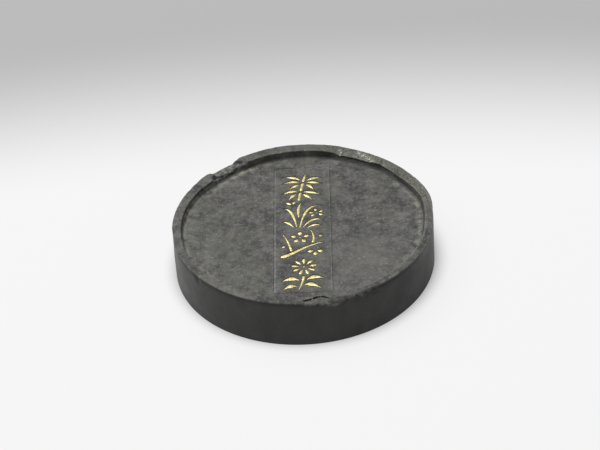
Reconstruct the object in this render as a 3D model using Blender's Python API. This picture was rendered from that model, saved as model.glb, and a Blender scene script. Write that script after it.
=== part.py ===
"""A round moulded ink cake: pine soot and glue pressed between two dies, with a raised rim on both faces.

The upper face carries a long upright panel. Four brush-drawn plants are sunk in it from top to bottom, bamboo,
orchid, plum and chrysanthemum, and each brush stroke is filled with its own dab of gold.

Lengths are in millimetres in this script and become metres where a mesh is made. The origin is the centre of the
foot, +Z is up out of the gilded face, and +Y runs up the column of plants.
"""

from math import cos, hypot, pi, radians, sin

import bmesh
import bpy

MM = 0.001

# The cake
CAKE_RADIUS = 56.0
CAKE_HEIGHT = 22.0
RIM_INNER_RADIUS = 52.4
FACE_CENTRE = (0.4, -0.5)  # the gilded face is pressed a little off centre, so its rim is widest at the back
FACE_SQUEEZE = 0.987  # the gilded face's length from front to back, as a share of its width
FACE_DEPTH = 3.4  # how far the gilded face lies below its rim
REVERSE_DEPTH = 2.0  # how far the plain reverse lies inside its rim, which is the foot
DRAFT = 0.5  # how far a rim's inner wall leans in on its way down, so that the cake leaves its die
EDGE_BEVEL = 0.35
ROUND_STEPS = 120
CHIP_STEPS = 10
SHARP_DEGREES = 20.0

# The panel and the gold
PANEL_HALF_WIDTH = 12.3
PANEL_TOP = 42.6
PANEL_BOTTOM = -44.4
GROOVE_WIDTH = 0.4
GROOVE_DEPTH = 0.25
TROUGH_DEPTH = 0.6
GOLD_BELOW_FACE = 0.12
GAP = 0.05  # free space round each dab of gold
CUTTER_RISE = 1.0  # how far a cutter stands out of the surface that it cuts
PLANT_TOP = 28.6
PLANT_PITCH = 20.1

# Worked out from the above
FACE_Z = CAKE_HEIGHT - FACE_DEPTH
FIELD_RADIUS = RIM_INNER_RADIUS - DRAFT

# The damage to the gilded side's rim: the azimuths where it starts and ends, how gently it deepens from its ends,
# and its section half way along as (distance in from the cake's side, depth below the rim's top), from outside in
CHIPS = {
    "broken_rim": (119.0, 137.5, 0.35, [(-1.0, 1.9), (2.6, 2.0), (5.6, 2.9)]),
    "worn_rim": (46.0, 74.0, 0.35, [(-1.0, 0.4), (4.6, 1.1)]),
    "flaked_edge": (-84.0, -52.0, 0.6, [(-1.0, 2.3), (0.0, 1.7), (2.0, -0.1)]),
}

# A brush stroke's widths: where the brush lands, at its belly and where it lifts, then the belly's place along it
LEAF = (0.55, 1.9, 0.25, 0.38)
BLADE = (0.6, 1.45, 0.25, 0.45)
CANE = (1.5, 1.25, 1.5, 0.5)
CANE_TIP = (1.4, 1.15, 0.45, 0.5)
BRANCH = (2.1, 1.7, 0.7, 0.35)
TWIG = (1.25, 1.05, 0.4, 0.4)
PETAL = (0.5, 1.65, 0.6, 0.66)
ROUND_PETAL = (1.0, 2.25, 1.0, 0.52)
BROAD_LEAF = (0.55, 2.5, 0.3, 0.42)
DOT = (1.0, 1.4, 1.0, 0.5)
SMALL_DOT = (0.8, 0.9, 0.8, 0.5)
LONG_STATIONS = 9
SHORT_STATIONS = 6

# The flowers' centres, each from the middle of its own plant
ORCHID_FLOWER = (6.0, 0.9)
PLUM_FLOWER = (-1.2, 4.3)
PLUM_SIDE_FLOWER = (5.2, -4.8)
CHRYSANTHEMUM_FLOWER = (0.3, 4.4)


def clear_scene():
    """Removes whatever the file held before."""
    for obj in list(bpy.data.objects):
        bpy.data.objects.remove(obj, do_unlink=True)


def material(name, colour, roughness, metallic):
    """A Principled material."""
    made = bpy.data.materials.new(name)
    made.use_nodes = True
    surface = made.node_tree.nodes["Principled BSDF"]
    surface.inputs["Base Color"].default_value = (*colour, 1.0)
    surface.inputs["Roughness"].default_value = roughness
    surface.inputs["Metallic"].default_value = metallic
    return made


def add_object(name, shape, surface=None):
    """A new object from a bmesh in millimetres, which it frees. An object with no surface is a cutter."""
    bmesh.ops.scale(shape, vec=(MM, MM, MM), verts=shape.verts)
    bmesh.ops.recalc_face_normals(shape, faces=shape.faces)
    mesh = bpy.data.meshes.new(name)
    shape.to_mesh(mesh)
    shape.free()
    obj = bpy.data.objects.new(name, mesh)
    bpy.context.scene.collection.objects.link(obj)
    if surface:
        mesh.materials.append(surface)
        mesh.shade_smooth()
        mesh.set_sharp_from_angle(angle=radians(SHARP_DEGREES))
    return obj


def cut(target, cutter):
    """Cuts the cutter's shape from the target and keeps the cutter as a helper."""
    cutter.hide_render = True
    cutter.display_type = "WIRE"
    boolean = target.modifiers.new("cut_" + cutter.name, "BOOLEAN")
    boolean.operation = "DIFFERENCE"
    boolean.solver = "EXACT"
    boolean.object = cutter


# Brush strokes


def along(control, t):
    """The point and the direction at t on the Bezier curve through these control points."""
    points = [tuple(p) for p in control]
    while len(points) > 2:
        points = [
            (a[0] + (b[0] - a[0]) * t, a[1] + (b[1] - a[1]) * t)
            for a, b in zip(points, points[1:])
        ]
    (ax, ay), (bx, by) = points
    length = hypot(bx - ax, by - ay)
    return (ax + (bx - ax) * t, ay + (by - ay) * t), ((bx - ax) / length, (by - ay) / length)


def half_width(brush, t):
    """Half of a stroke's width at t, swelling to its belly and thinning again."""
    landing, belly, lifting, belly_at = brush
    if t < belly_at:
        start, end, share = landing, belly, t / belly_at
    else:
        start, end, share = belly, lifting, (t - belly_at) / (1 - belly_at)
    return 0.5 * (start + (end - start) * share * share * (3 - 2 * share))


def stroke_outline(control, brush, stations, grow=0.0):
    """A brush stroke's closed outline: one side, the tip, the other side and the rounded start."""
    left, right = [], []
    for step in range(stations):
        t = step / (stations - 1)
        (x, y), (dx, dy) = along(control, t)
        half = half_width(brush, t) + grow
        left.append((x - dy * half, y + dx * half))
        right.append((x + dy * half, y - dx * half))
    (sx, sy), (sdx, sdy) = along(control, 0.0)
    (ex, ey), (edx, edy) = along(control, 1.0)
    start_cap = half_width(brush, 0.0) + grow
    end_cap = half_width(brush, 1.0) + grow
    tip = (ex + edx * end_cap, ey + edy * end_cap)
    heel = (sx - sdx * start_cap, sy - sdy * start_cap)
    return [*right, tip, *reversed(left), heel]


def add_prism(shape, outline, low, high):
    """An upright prism on this outline, added to the bmesh."""
    bottom = shape.faces.new([shape.verts.new((x, y, low)) for x, y in outline])
    raised = bmesh.ops.extrude_face_region(shape, geom=[bottom])["geom"]
    top = [v for v in raised if isinstance(v, bmesh.types.BMVert)]
    bmesh.ops.translate(shape, verts=top, vec=(0, 0, high - low))


def shifted(points, dy):
    return [(x, y + dy) for x, y in points]


def ring_of_strokes(centre, inner, outer, degrees):
    """Straight strokes that point away from a centre, one at each angle."""
    cx, cy = centre
    made = []
    for angle in degrees:
        dx, dy = cos(radians(angle)), sin(radians(angle))
        made.append([(cx + dx * r, cy + dy * r) for r in (inner, (inner + outer) / 2, outer)])
    return made


def short_dab(centre):
    """A stroke hardly longer than a dot."""
    x, y = centre
    return [(x - 0.15, y), (x, y), (x + 0.15, y)]


# Each plant is a list of (name, control points, brush, stations), about its own centre


def bamboo():
    canes = [
        ("cane_low", [(-1.6, -9.3), (-1.3, -6.5), (-0.8, -4.4)], CANE),
        ("cane_middle", [(-0.65, -2.6), (-0.2, 0.2), (0.15, 2.4)], CANE),
        ("cane_top", [(0.4, 4.2), (0.8, 6.6), (1.5, 9.5)], CANE_TIP),
    ]
    leaves = [
        [(2.0, 4.6), (4.8, 6.9), (8.7, 6.2)],
        [(1.9, 3.1), (4.8, 3.9), (8.9, 1.4)],
        [(1.7, 1.7), (3.5, 0.9), (5.0, -2.3)],
        [(-1.0, 5.2), (-4.0, 8.1), (-8.8, 7.5)],
        [(-1.1, 3.4), (-4.3, 5.1), (-9.1, 2.4)],
        [(-1.5, 1.7), (-3.7, 1.1), (-5.7, -1.5)],
        [(-2.3, -3.2), (-5.2, -2.2), (-9.2, -5.2)],
        [(-2.7, -5.0), (-4.5, -6.0), (-5.9, -9.3)],
        [(0.6, -3.7), (3.8, -3.1), (8.6, -6.4)],
        [(0.3, -5.4), (2.5, -6.4), (4.2, -9.6)],
    ]
    return [(name, points, brush, LONG_STATIONS) for name, points, brush in canes] + [
        (f"leaf_{n}", points, LEAF, LONG_STATIONS) for n, points in enumerate(leaves, 1)
    ]


def orchid():
    blades = [
        [(-1.2, -8.8), (0.2, 2.5), (3.6, 8.4), (9.0, 5.4)],
        [(-2.6, -8.2), (-3.6, 0.5), (-5.6, 6.2), (-9.2, 4.6)],
        [(-1.7, -1.6), (-2.1, 3.0), (-1.9, 6.0), (-0.4, 9.4)],
        [(0.3, -8.4), (3.0, -3.6), (6.0, -2.0), (9.3, -4.4)],
        [(-4.0, -8.4), (-5.4, -5.6), (-7.0, -4.0), (-9.2, -4.9)],
        [(2.0, -9.2), (4.2, -7.2), (6.0, -6.6), (8.4, -8.4)],
    ]
    flower = ring_of_strokes(ORCHID_FLOWER, 1.25, 3.1, (100, 30, 172, 222, 330))
    buds = [
        [(-4.9, 7.4), (-5.6, 8.4), (-7.0, 9.2)],
        [(-4.0, 7.8), (-3.9, 8.6), (-3.4, 9.7)],
    ]
    return (
        [(f"blade_{n}", points, BLADE, LONG_STATIONS) for n, points in enumerate(blades, 1)]
        + [(f"petal_{n}", points, PETAL, SHORT_STATIONS) for n, points in enumerate(flower, 1)]
        + [("flower_heart", short_dab(ORCHID_FLOWER), SMALL_DOT, SHORT_STATIONS)]
        + [(f"bud_{n}", points, PETAL, SHORT_STATIONS) for n, points in enumerate(buds, 1)]
    )


def plum():
    wood = [
        ("branch", [(-8.8, -8.4), (-3.4, -7.2), (-1.0, -1.8), (8.8, 0.6)], BRANCH),
        ("twig_left", [(-4.9, -4.5), (-5.6, -1.4), (-6.2, 2.2), (-8.4, 6.6)], TWIG),
        ("twig_right", [(4.2, 0.9), (4.9, 3.4), (4.8, 6.0), (3.4, 9.3)], TWIG),
    ]
    open_flower = ring_of_strokes(PLUM_FLOWER, 1.8, 3.7, (90, 18, 162, 234, 306))
    side_flower = ring_of_strokes(PLUM_SIDE_FLOWER, 1.3, 3.2, (196, 270, 344))
    buds = [
        [(7.2, 4.6), (7.6, 5.0), (8.0, 5.4)],
        [(-8.6, -2.2), (-8.2, -1.8), (-7.8, -1.4)],
    ]
    return (
        [(name, points, brush, LONG_STATIONS) for name, points, brush in wood]
        + [(f"petal_{n}", points, ROUND_PETAL, SHORT_STATIONS) for n, points in enumerate(open_flower, 1)]
        + [("flower_heart", short_dab(PLUM_FLOWER), SMALL_DOT, SHORT_STATIONS)]
        + [(f"side_petal_{n}", points, ROUND_PETAL, SHORT_STATIONS) for n, points in enumerate(side_flower, 1)]
        + [(f"bud_{n}", points, DOT, SHORT_STATIONS) for n, points in enumerate(buds, 1)]
    )


def chrysanthemum():
    petal_count = 9
    petals = ring_of_strokes(
        CHRYSANTHEMUM_FLOWER, 2.0, 5.3, [90 + 360 * n / petal_count for n in range(petal_count)]
    )
    leaves = [
        [(1.5, -4.2), (4.6, -1.2), (8.8, -3.8)],
        [(0.5, -7.4), (3.6, -6.0), (7.4, -10.2)],
        [(-1.7, -4.4), (-5.2, -1.8), (-9.2, -5.2)],
        [(-2.7, -8.4), (-5.4, -7.0), (-8.6, -10.4)],
    ]
    return (
        [(f"petal_{n}", points, PETAL, SHORT_STATIONS) for n, points in enumerate(petals, 1)]
        + [("flower_heart", short_dab(CHRYSANTHEMUM_FLOWER), DOT, SHORT_STATIONS)]
        + [("stem", [(0.2, -2.0), (-0.3, -6.4), (-2.0, -10.6)], TWIG, LONG_STATIONS)]
        + [(f"leaf_{n}", points, BROAD_LEAF, LONG_STATIONS) for n, points in enumerate(leaves, 1)]
    )


def all_strokes():
    """Every gilded stroke as (node name, control points in the cake's own place, brush, stations)."""
    plants = [("bamboo", bamboo()), ("orchid", orchid()), ("plum", plum()), ("chrysanthemum", chrysanthemum())]
    made = []
    for row, (plant, strokes) in enumerate(plants):
        height = PLANT_TOP - row * PLANT_PITCH
        for name, control, brush, stations in strokes:
            made.append((f"gilt_{plant}_{name}", shifted(control, height), brush, stations))
    return made


# The cake itself


def cake_profile():
    """The half section of the cake before its face is sunk, as (radius, height) from the reverse's centre round."""
    return [
        (0.0, REVERSE_DEPTH),
        (FIELD_RADIUS, REVERSE_DEPTH),
        (RIM_INNER_RADIUS, 0.0),
        (CAKE_RADIUS - EDGE_BEVEL, 0.0),
        (CAKE_RADIUS, EDGE_BEVEL),
        (CAKE_RADIUS, CAKE_HEIGHT - EDGE_BEVEL),
        (CAKE_RADIUS - EDGE_BEVEL, CAKE_HEIGHT),
        (0.0, CAKE_HEIGHT),
    ]


def face_profile():
    """The half section of the cutter that sinks the gilded face. Its side leans on past the rim's top."""
    above = CAKE_HEIGHT + CUTTER_RISE
    return [
        (0.0, FACE_Z),
        (FIELD_RADIUS, FACE_Z),
        (RIM_INNER_RADIUS + DRAFT * CUTTER_RISE / FACE_DEPTH, above),
        (0.0, above),
    ]


def turned(profile, steps):
    """A solid turned about Z from a half section whose two ends lie on the axis. Its two flat faces are whole."""
    shape = bmesh.new()
    points = [shape.verts.new((r, 0.0, z)) for r, z in profile[1:-1]]
    edges = [shape.edges.new(pair) for pair in zip(points, points[1:])]
    bmesh.ops.spin(
        shape,
        geom=points + edges,
        cent=(0, 0, 0),
        axis=(0, 0, 1),
        angle=2 * pi,
        steps=steps,
        use_merge=True,
    )
    bmesh.ops.remove_doubles(shape, verts=shape.verts, dist=1e-4)
    rims = [e for e in shape.edges if e.is_boundary]
    bmesh.ops.holes_fill(shape, edges=rims, sides=0)
    return shape


def face_recess():
    """The cutter that sinks the gilded face, off centre and slightly oval."""
    shape = turned(face_profile(), ROUND_STEPS)
    bmesh.ops.scale(shape, verts=shape.verts, vec=(1.0, FACE_SQUEEZE, 1.0))
    bmesh.ops.translate(shape, verts=shape.verts, vec=(*FACE_CENTRE, 0.0))
    return shape


def chip_block(start, end, gentleness, section):
    """A cutter along the rim from one azimuth to another, of full depth half way and of none at its ends."""
    above = CAKE_HEIGHT + CUTTER_RISE
    shape = bmesh.new()
    rings = []
    for step in range(CHIP_STEPS + 1):
        share = step / CHIP_STEPS
        angle = radians(start + (end - start) * share)
        deepness = sin(pi * share) ** gentleness
        under = [(CAKE_RADIUS - inset, CAKE_HEIGHT - depth * deepness) for inset, depth in section]
        corners = [(under[0][0], above), *under, (under[-1][0], above)]
        rings.append([shape.verts.new((r * cos(angle), r * sin(angle), z)) for r, z in corners])
    for near, far in zip(rings, rings[1:]):
        for k in range(len(near)):
            n = (k + 1) % len(near)
            shape.faces.new((near[k], near[n], far[n], far[k]))
    shape.faces.new(rings[0])
    shape.faces.new(list(reversed(rings[-1])))
    return shape


def panel_groove():
    """A cutter for the fine line that frames the panel."""
    half = GROOVE_WIDTH / 2
    outlines = [
        [(side * reach, y) for side, y in ((-1, low), (1, low), (1, high), (-1, high))]
        for reach, low, high in (
            (PANEL_HALF_WIDTH + half, PANEL_BOTTOM - half, PANEL_TOP + half),
            (PANEL_HALF_WIDTH - half, PANEL_BOTTOM + half, PANEL_TOP - half),
        )
    ]
    shape = bmesh.new()
    rings = [
        [shape.verts.new((x, y, z)) for x, y in outline]
        for z in (FACE_Z - GROOVE_DEPTH, FACE_Z + CUTTER_RISE)
        for outline in outlines
    ]
    outer_low, inner_low, outer_high, inner_high = rings
    for a, b in ((outer_low, inner_low), (inner_high, outer_high), (outer_high, outer_low), (inner_low, inner_high)):
        for k in range(4):
            n = (k + 1) % 4
            shape.faces.new((a[k], a[n], b[n], b[k]))
    return shape


def stroke_troughs(strokes):
    """One cutter for the troughs that all the gold lies in."""
    shape = bmesh.new()
    for _, control, brush, stations in strokes:
        outline = stroke_outline(control, brush, stations, GAP)
        add_prism(shape, outline, FACE_Z - TROUGH_DEPTH, FACE_Z + CUTTER_RISE)
    return shape


def add_cake(strokes, ink):
    cake = add_object("ink_cake", turned(cake_profile(), ROUND_STEPS), ink)
    cut(cake, add_object("cutter_face", face_recess()))
    for name, chip in CHIPS.items():
        cut(cake, add_object("cutter_" + name, chip_block(*chip)))
    cut(cake, add_object("cutter_groove", panel_groove()))
    cut(cake, add_object("cutter_troughs", stroke_troughs(strokes)))


def add_gold(strokes, gold):
    """One dab of gold in each trough."""
    for name, control, brush, stations in strokes:
        shape = bmesh.new()
        outline = stroke_outline(control, brush, stations)
        add_prism(shape, outline, FACE_Z - TROUGH_DEPTH + GAP, FACE_Z - GOLD_BELOW_FACE)
        add_object(name, shape, gold)


def main():
    clear_scene()
    ink = material("ink", (0.115, 0.115, 0.11), 0.75, 0.0)
    gold = material("gold", (0.78, 0.6, 0.22), 0.42, 0.85)
    strokes = all_strokes()
    add_cake(strokes, ink)
    add_gold(strokes, gold)


main()
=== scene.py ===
"""The look of a round ink cake: worn pressed soot with a broken rim, and gold brushed into sunk strokes.

Shapes are worked out in millimetres and become metres where a mesh is made. Azimuths are in degrees,
anticlockwise from +X as seen from above, and +Y is the top of the column of plants.
"""

from math import cos, radians, sin
from types import SimpleNamespace

import bmesh
import bpy
import numpy as np
from mathutils import Matrix, Vector, geometry, noise


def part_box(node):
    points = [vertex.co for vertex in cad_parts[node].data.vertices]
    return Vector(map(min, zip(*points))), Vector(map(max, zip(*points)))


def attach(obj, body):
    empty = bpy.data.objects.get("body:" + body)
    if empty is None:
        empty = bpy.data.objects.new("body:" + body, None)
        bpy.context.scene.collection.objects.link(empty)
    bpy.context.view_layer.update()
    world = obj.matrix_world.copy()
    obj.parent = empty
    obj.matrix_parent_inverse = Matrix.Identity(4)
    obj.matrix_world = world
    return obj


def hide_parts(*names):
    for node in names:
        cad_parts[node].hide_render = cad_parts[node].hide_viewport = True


MM = 0.001

# The moulded shape, as the CAD has it
RIM_INNER = 52.4
FACE_CENTRE = np.array([0.4, -0.5])
FACE_SQUEEZE = 0.987  # the field's length from front to back, as a share of its width
FACE_DEPTH = 3.4
REVERSE_DEPTH = 2.0
DRAFT = 0.5
PANEL_HALF_WIDTH = 12.3
PANEL_TOP = 42.6
PANEL_BOTTOM = -44.4
GOLD_GAP = 0.05
TROUGH_DEPTH = 0.6

# How finely the cake is meshed
SIDE_COLUMNS = 132  # columns of faces along each of the four sides of the field's grid
FINE_STRETCHES = [(10, 79), (112, 143), (266, 310)]  # azimuths between which the rim is damaged
FINE_DENSITY = 2.0
GRID_CORNER_RADIUS = 47.0
GRID_SQUARENESS = 0.5
FIRST_COLUMN = -45.0
DENSITY_STEP = 0.05
DENSITY_BLUR = 60  # steps to each side that a change is spread over
FIELD_RINGS = 13
INNER_WALL_RINGS = 8
TOP_RINGS = 14
SIDE_RINGS = 20
FOOT_RINGS = 4

# The edges' roundings and the surface's unevenness
ROUNDING = 0.35  # of the rim's two edges and the foot's
FILLET = 0.8
WAVE_HEIGHT = 0.05
GRAIN_HEIGHT = 0.03
PIT_DEPTH = 0.08
RING_HEIGHT = 0.012  # faint rings that the die left round the field
RING_TURN = 7.0  # radians of a ring's wave for each millimetre
RING_REACH = 8.0
TOP_CLEARANCE = 0.03
NICK_DEPTH = 0.14
NICK_REACH = 0.4
SIDE_WAVE = 0.035
SIDE_GRAIN = 0.012
LIP_RISE = 0.02
LIP_SLOPE = 0.1

# The panel, slightly raised, and the fine line round it
PANEL_RISE = 0.1
PANEL_LIP = 0.07
PANEL_STEP = 0.5
LINE_WIDTH = 0.36
LINE_STEP = 1.0
LINE_DEPTH = 0.22
TOP_LINE_DEPTH = 0.36
FAINT_LINE_DEPTH = -0.06
CUTTER_RISE = 1.0

# How far the cake's side and its rim's inner edge stray from true circles, as (azimuth, distance outwards)
OUTLINE_STRAY = [
    (3, 0), (8, 0.6), (14, 1), (21, 0.85), (24, 0.6), (28, 0.45), (34, 0.05), (88, 0), (94, 0.25),
    (100, 0.35), (106, 0.3), (112, 0), (180, 0), (187, -0.75), (193, -0.25), (198, 0),
]
INNER_STRAY = [
    (5, -0.2), (16, 0.5), (26, 0), (36, -0.4), (48, -0.1), (55, -0.8), (72, -0.7), (78, -0.2), (108, 0.1),
    (115, -0.5), (120, -0.1), (141, -0.8), (150, -0.2), (164, 0.2), (176, 0), (262, 0), (268, -0.9),
    (284, -0.9), (292, -0.2), (310, -0.3), (323, -0.6), (336, -0.25), (344, -0.2), (355, -0.7),
]

# How far the side's upper edge is worn back, as (azimuth, distance), and how far down the wear reaches
EDGE_WEAR = [(185, 0), (205, 0.25), (225, 0.4), (300, 0.4), (318, 0.3), (335, 0)]
EDGE_WEAR_START = 53.5
EDGE_WEAR_REACH = 0.8

# The left break, in lines of (azimuth, radius) and depths of (azimuth, depth). The rim's top has come off
# in a facet within the first line, and fallen away to a ledge within the second. The tip slopes outwards.
BREAK_LINE = [
    (117.4, 50), (118, 50.9), (119.1, 51.8), (121, 53.5), (123, 54.3), (123.8, 57.5), (140, 57.5),
]
BREAK_DEPTH = [
    (117.2, 0), (118, 0.8), (120, 1.2), (122.5, 1.6), (124, 1.95), (134.5, 1.8), (135.8, 1.3),
    (136.8, 0.45), (139, 0),
]
LEDGE_LINE = [
    (116, 49.8), (118.5, 50.6), (121, 51.9), (124, 52.2), (127.3, 51.2), (130.3, 51.6), (133.2, 52.3),
    (135.6, 53), (138, 53), (141, 51),
]
LEDGE_DEPTH = [
    (115.5, 0), (117.5, 2.2), (120, 2.7), (126, 2.9), (132, 2.7), (136, 2.5), (138, 1.7), (140, 0.6),
    (142, 0),
]
TIP_LINE = [(119, 56), (121.3, 55), (123.3, 54.4), (124.5, 54)]
TIP_DEPTH = [(119, 0), (120.5, 0.5), (122.2, 1.7), (124, 1.95), (124.5, 0)]
RUBBLE_HEIGHT = [(110, 0), (114, 1.3), (120, 1.5), (123, 0.8), (137, 0.8), (141, 0)]
FACET_STEP = 0.5
LEDGE_STEP = 0.7
LEAST_WIDTH = 0.01  # keeps the tip's width from being zero
RUBBLE_START = 2.0
FACET_ROUGHNESS = 0.1
RUBBLE_ROUGHNESS = 0.4

# The worn right side of the rim, lower and sloping in, with the inner wall hollowed out under it
WORN_OUTER_DEPTH = [(38, 0), (45, 0.3), (52, 0.4), (60, 0.45), (69, 0.4), (72, 0.1), (75, 0)]
WORN_INNER_DEPTH = [
    (0, 0.3), (8, 0.4), (16, 0.7), (23, 0.9), (28, 1.2), (38, 1.35), (45, 1), (49, 0.5), (52, 0.7),
    (54, 1.2), (70.5, 1.2), (72, 1), (74, 0.3), (80, 0), (340, 0), (360, 0.3),
]
WORN_START = [(0, 53.4), (45, 53.4), (53, 55), (72, 55), (75, 53.4)]
WORN_BLEND = 0.9
WORN_ROUGHNESS = 0.1
HOLLOW_STRETCH = (34, 78)
HOLLOW_DEPTH = 0.5

# The front flake: where it starts, how deep it is at the cake's edge, and the crack left open behind it
FLAKE_START_RADIUS = [
    (268, 54), (270, 53.2), (274, 53), (276, 52.3), (280, 52.3), (281.7, 54), (284, 54),
    (290, 54.5), (300, 54.7), (308, 55.4),
]
FLAKE_EDGE_DEPTH = [
    (268, 0), (270.2, 0.35), (276, 0.65), (278.5, 1.3), (281, 1.9), (284, 2.3), (287, 1.6), (290, 0.9),
    (295, 1.1), (298, 1), (301, 1.2), (304, 0.5), (308, 0),
]
FLAKE_SINK = [(269.5, 0), (270.5, 0.3), (280, 0.35), (282, 0)]
FLAKE_STEP = 0.3
FLAKE_CURVE = 1.3
FLAKE_ROUGHNESS = 0.3
PATCH_DEPTH = 0.5
CRACK_LINE = [
    (269.6, 53.7), (272.1, 53.4), (274.1, 52.9), (275.7, 52.2), (277.7, 52.25), (279.3, 52.15),
    (280.7, 53.2), (281.9, 54.3),
]
CRACK_WIDTH = 0.95
CRACK_FLOOR = 19.2
CRACK_SECTIONS = 36

# Small dents in the rim's edges: (azimuth, reach along the edge in degrees, depth)
EDGE_DENTS = [
    (151, 2.2, 0.4), (146, 1, 0.2), (178, 1.4, 0.25), (219, 2, 0.4), (241, 1.2, 0.2),
    (256, 0.9, 0.25), (330, 1.6, 0.25), (352, 1.1, 0.2), (30, 1, 0.25), (104, 0.8, 0.15),
]
INNER_DENTS = [
    (70.7, 0.8, 0.6), (88, 1, 0.2), (101, 0.8, 0.3), (146, 1.6, 0.3), (163, 1.2, 0.25), (225, 1.4, 0.2),
    (300, 1.2, 0.2),
]
FLAKE_PITS = [
    (272, 0.5, 0.3), (276, 0.6, 0.4), (288.5, 0.8, 0.6), (293.2, 1.1, 0.5), (297.5, 1.3, 0.6),
    (301.2, 1.5, 0.8), (305, 1.2, 0.5),
]
EDGE_DENT_REACH = 1.1
INNER_DENT_REACH = 1.0
SCAR_AZIMUTH = 218
SCAR_BELOW = 1.6
SCAR_DEPTH = 0.7
SCAR_SIZE = 1.4

# Colour that changes round the cake, as (azimuth, strength): painted shade, and dust with painted light,
# on the inner wall, dust along its foot, the rim's rubbed inner edge with a painted highlight and its olive
# stretch, and the side's pale streaks and duller stretch
# Painted shade on the inner wall, strongest under the worn right of the rim
WALL_PAINTED_SHADE = [
    (0, 0.3), (22, 0.55), (34, 1), (78, 1), (86, 0.3), (109, 0.35), (112, 0), (121, 0), (124, 0.9),
    (134, 0.8), (139, 0.3), (150, 0), (200, 0), (290, 0.05), (310, 0.3), (340, 0.2), (360, 0.3),
]
# Dust on the inner wall, with painted light that lightens its left stretch
WALL_DUST_AND_PAINTED_LIGHT = [(0, 0), (134, 0), (140, 0.6), (150, 1), (225, 1), (240, 0), (360, 0)]
DUST = [
    (0, 1.7), (14, 1.5), (24, 1), (34, 0.5), (40, 0.1), (104, 0.1), (112, 0.8), (118, 1.4), (132, 1.3),
    (140, 0.7), (150, 0.6), (165, 0.4), (175, 0.5), (230, 0.6), (250, 0.1), (325, 0.2), (345, 1.3),
    (360, 1.7),
]
# How rubbed the rim's inner edge is, with a painted highlight along it
INNER_RUB_AND_HIGHLIGHT = [
    (0, 0.5), (20, 0.2), (200, 0.2), (215, 0.6), (240, 0.2), (285, 0.3), (300, 1), (345, 1),
    (360, 0.5),
]
OLIVE = [(0, 0), (15, 0.7), (76, 0.7), (86, 0.2), (118, 0.2), (122, 0), (360, 0)]
RESIDUE = [
    (178, 0), (184, 0.9), (194, 0.8), (204, 0), (320, 0), (331, 0.7), (346, 1), (354, 0.4), (360, 0),
]
DULL = [(282, 0), (305, 1), (345, 1), (360, 0)]

# Bright crystals in the worn rim, as (radius, azimuth), and a pale patch on the field
SPECKS = [(52.3, 71), (54.3, 62), (53.4, 59), (53, 57.5), (52.5, 55.5), (52.1, 53)]
SPECK_REACH = 0.9
PALE_PLACE = np.array([26.0, -27.0])
PALE_REACH = 17.0

# The floor in metres, with a wide pool of light round a point in front of the cake
FLOOR_SIZE = 12.0
POOL_CENTRE = (0.0, -0.8, 0.0)
POOL_RADIUS = 0.86
POOL_EDGE = 0.135
FLOOR_TONE = 0.05
FLOOR_GAP = 0.0001  # keeps the floor's face clear of the foot's
FLOOR_GLOW = 0.836
FAR_GLOW = 0.41
# A painted contact shadow: the floor glows less close to the cake, as though the cake hid the light from it
CONTACT_CENTRE = (0.0006, 0.0012, 0.0)
CONTACT_START = 0.0553
CONTACT_END = 0.0633
CONTACT_SHADOW_GLOW = 0.37

# The light and the camera, in metres, watts, degrees and millimetres of lens
LIGHT_PLACE = (-0.4, 0.25, 1.1)
LIGHT_SIZE = (1.3, 0.9)
LIGHT_WATTS = 23.5
SURROUND_STRENGTH = 0.35
CAMERA_DISTANCE = 0.9412
CAMERA_AZIMUTH = 2.164
CAMERA_ELEVATION = 37.456
CAMERA_ROLL = -4.283
CAMERA_SHIFT = (-0.00377, -0.00775)
SENSOR_WIDTH = 36.0
LENS = 132.1

# Gold
CORNER_ROUNDS = 2
WOBBLE = 0.05
GOLD_POINT_SPACING = 0.22
GOLD_EDGE_DEPTH = 0.3
GOLD_EDGE_WIDTH = 0.5
GOLD_DOME = 0.2
GOLD_DOME_REACH = 0.35
GOLD_STREAK = 0.03

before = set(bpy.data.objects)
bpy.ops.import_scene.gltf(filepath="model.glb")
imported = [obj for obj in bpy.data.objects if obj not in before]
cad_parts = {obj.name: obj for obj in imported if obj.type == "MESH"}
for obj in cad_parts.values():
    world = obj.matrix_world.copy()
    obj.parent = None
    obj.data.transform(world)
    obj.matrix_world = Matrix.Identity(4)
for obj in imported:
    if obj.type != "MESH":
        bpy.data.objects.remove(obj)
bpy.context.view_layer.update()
CAKE_LOW, CAKE_HIGH = (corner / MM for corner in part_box("ink_cake"))
RADIUS = (CAKE_HIGH.x - CAKE_LOW.x) / 2
HEIGHT = CAKE_HIGH.z
FACE_Z = HEIGHT - FACE_DEPTH
FIELD_RADIUS = RIM_INNER - DRAFT


# Small tools


def smoothstep(value):
    """0 up to 0, 1 from 1 on, and smooth between."""
    value = np.clip(value, 0.0, 1.0)
    return value * value * (3 - 2 * value)


def ramp(value, start, end):
    """0 at the start and 1 at the end, smooth between. The end may be the lower of the two."""
    return smoothstep((value - start) / (end - start))


def bell(value, centre, width):
    """1 at the centre, falling off on both sides of it."""
    return np.exp(-(((value - centre) / width) ** 2))


def read_off(azimuth, points, period=None):
    """A value read from (azimuth, value) points, which repeat after a period if they have one."""
    places, values = zip(*points)
    return np.interp(azimuth, places, values, period=period)


def fractal(points, size, seed, octaves=3):
    """Fractal noise of about -1 to 1 at each point, with features about size millimetres across."""
    shift = Vector((17.3 * seed, 5.1 * seed, 9.7 * seed))
    return np.array([noise.fractal(Vector(p) / size + shift, 1.0, 2.0, octaves) for p in points])


def polar(points):
    """(radius, azimuth from 0 to 360) of each point."""
    return np.hypot(points[:, 0], points[:, 1]), np.degrees(np.arctan2(points[:, 1], points[:, 0])) % 360


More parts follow.
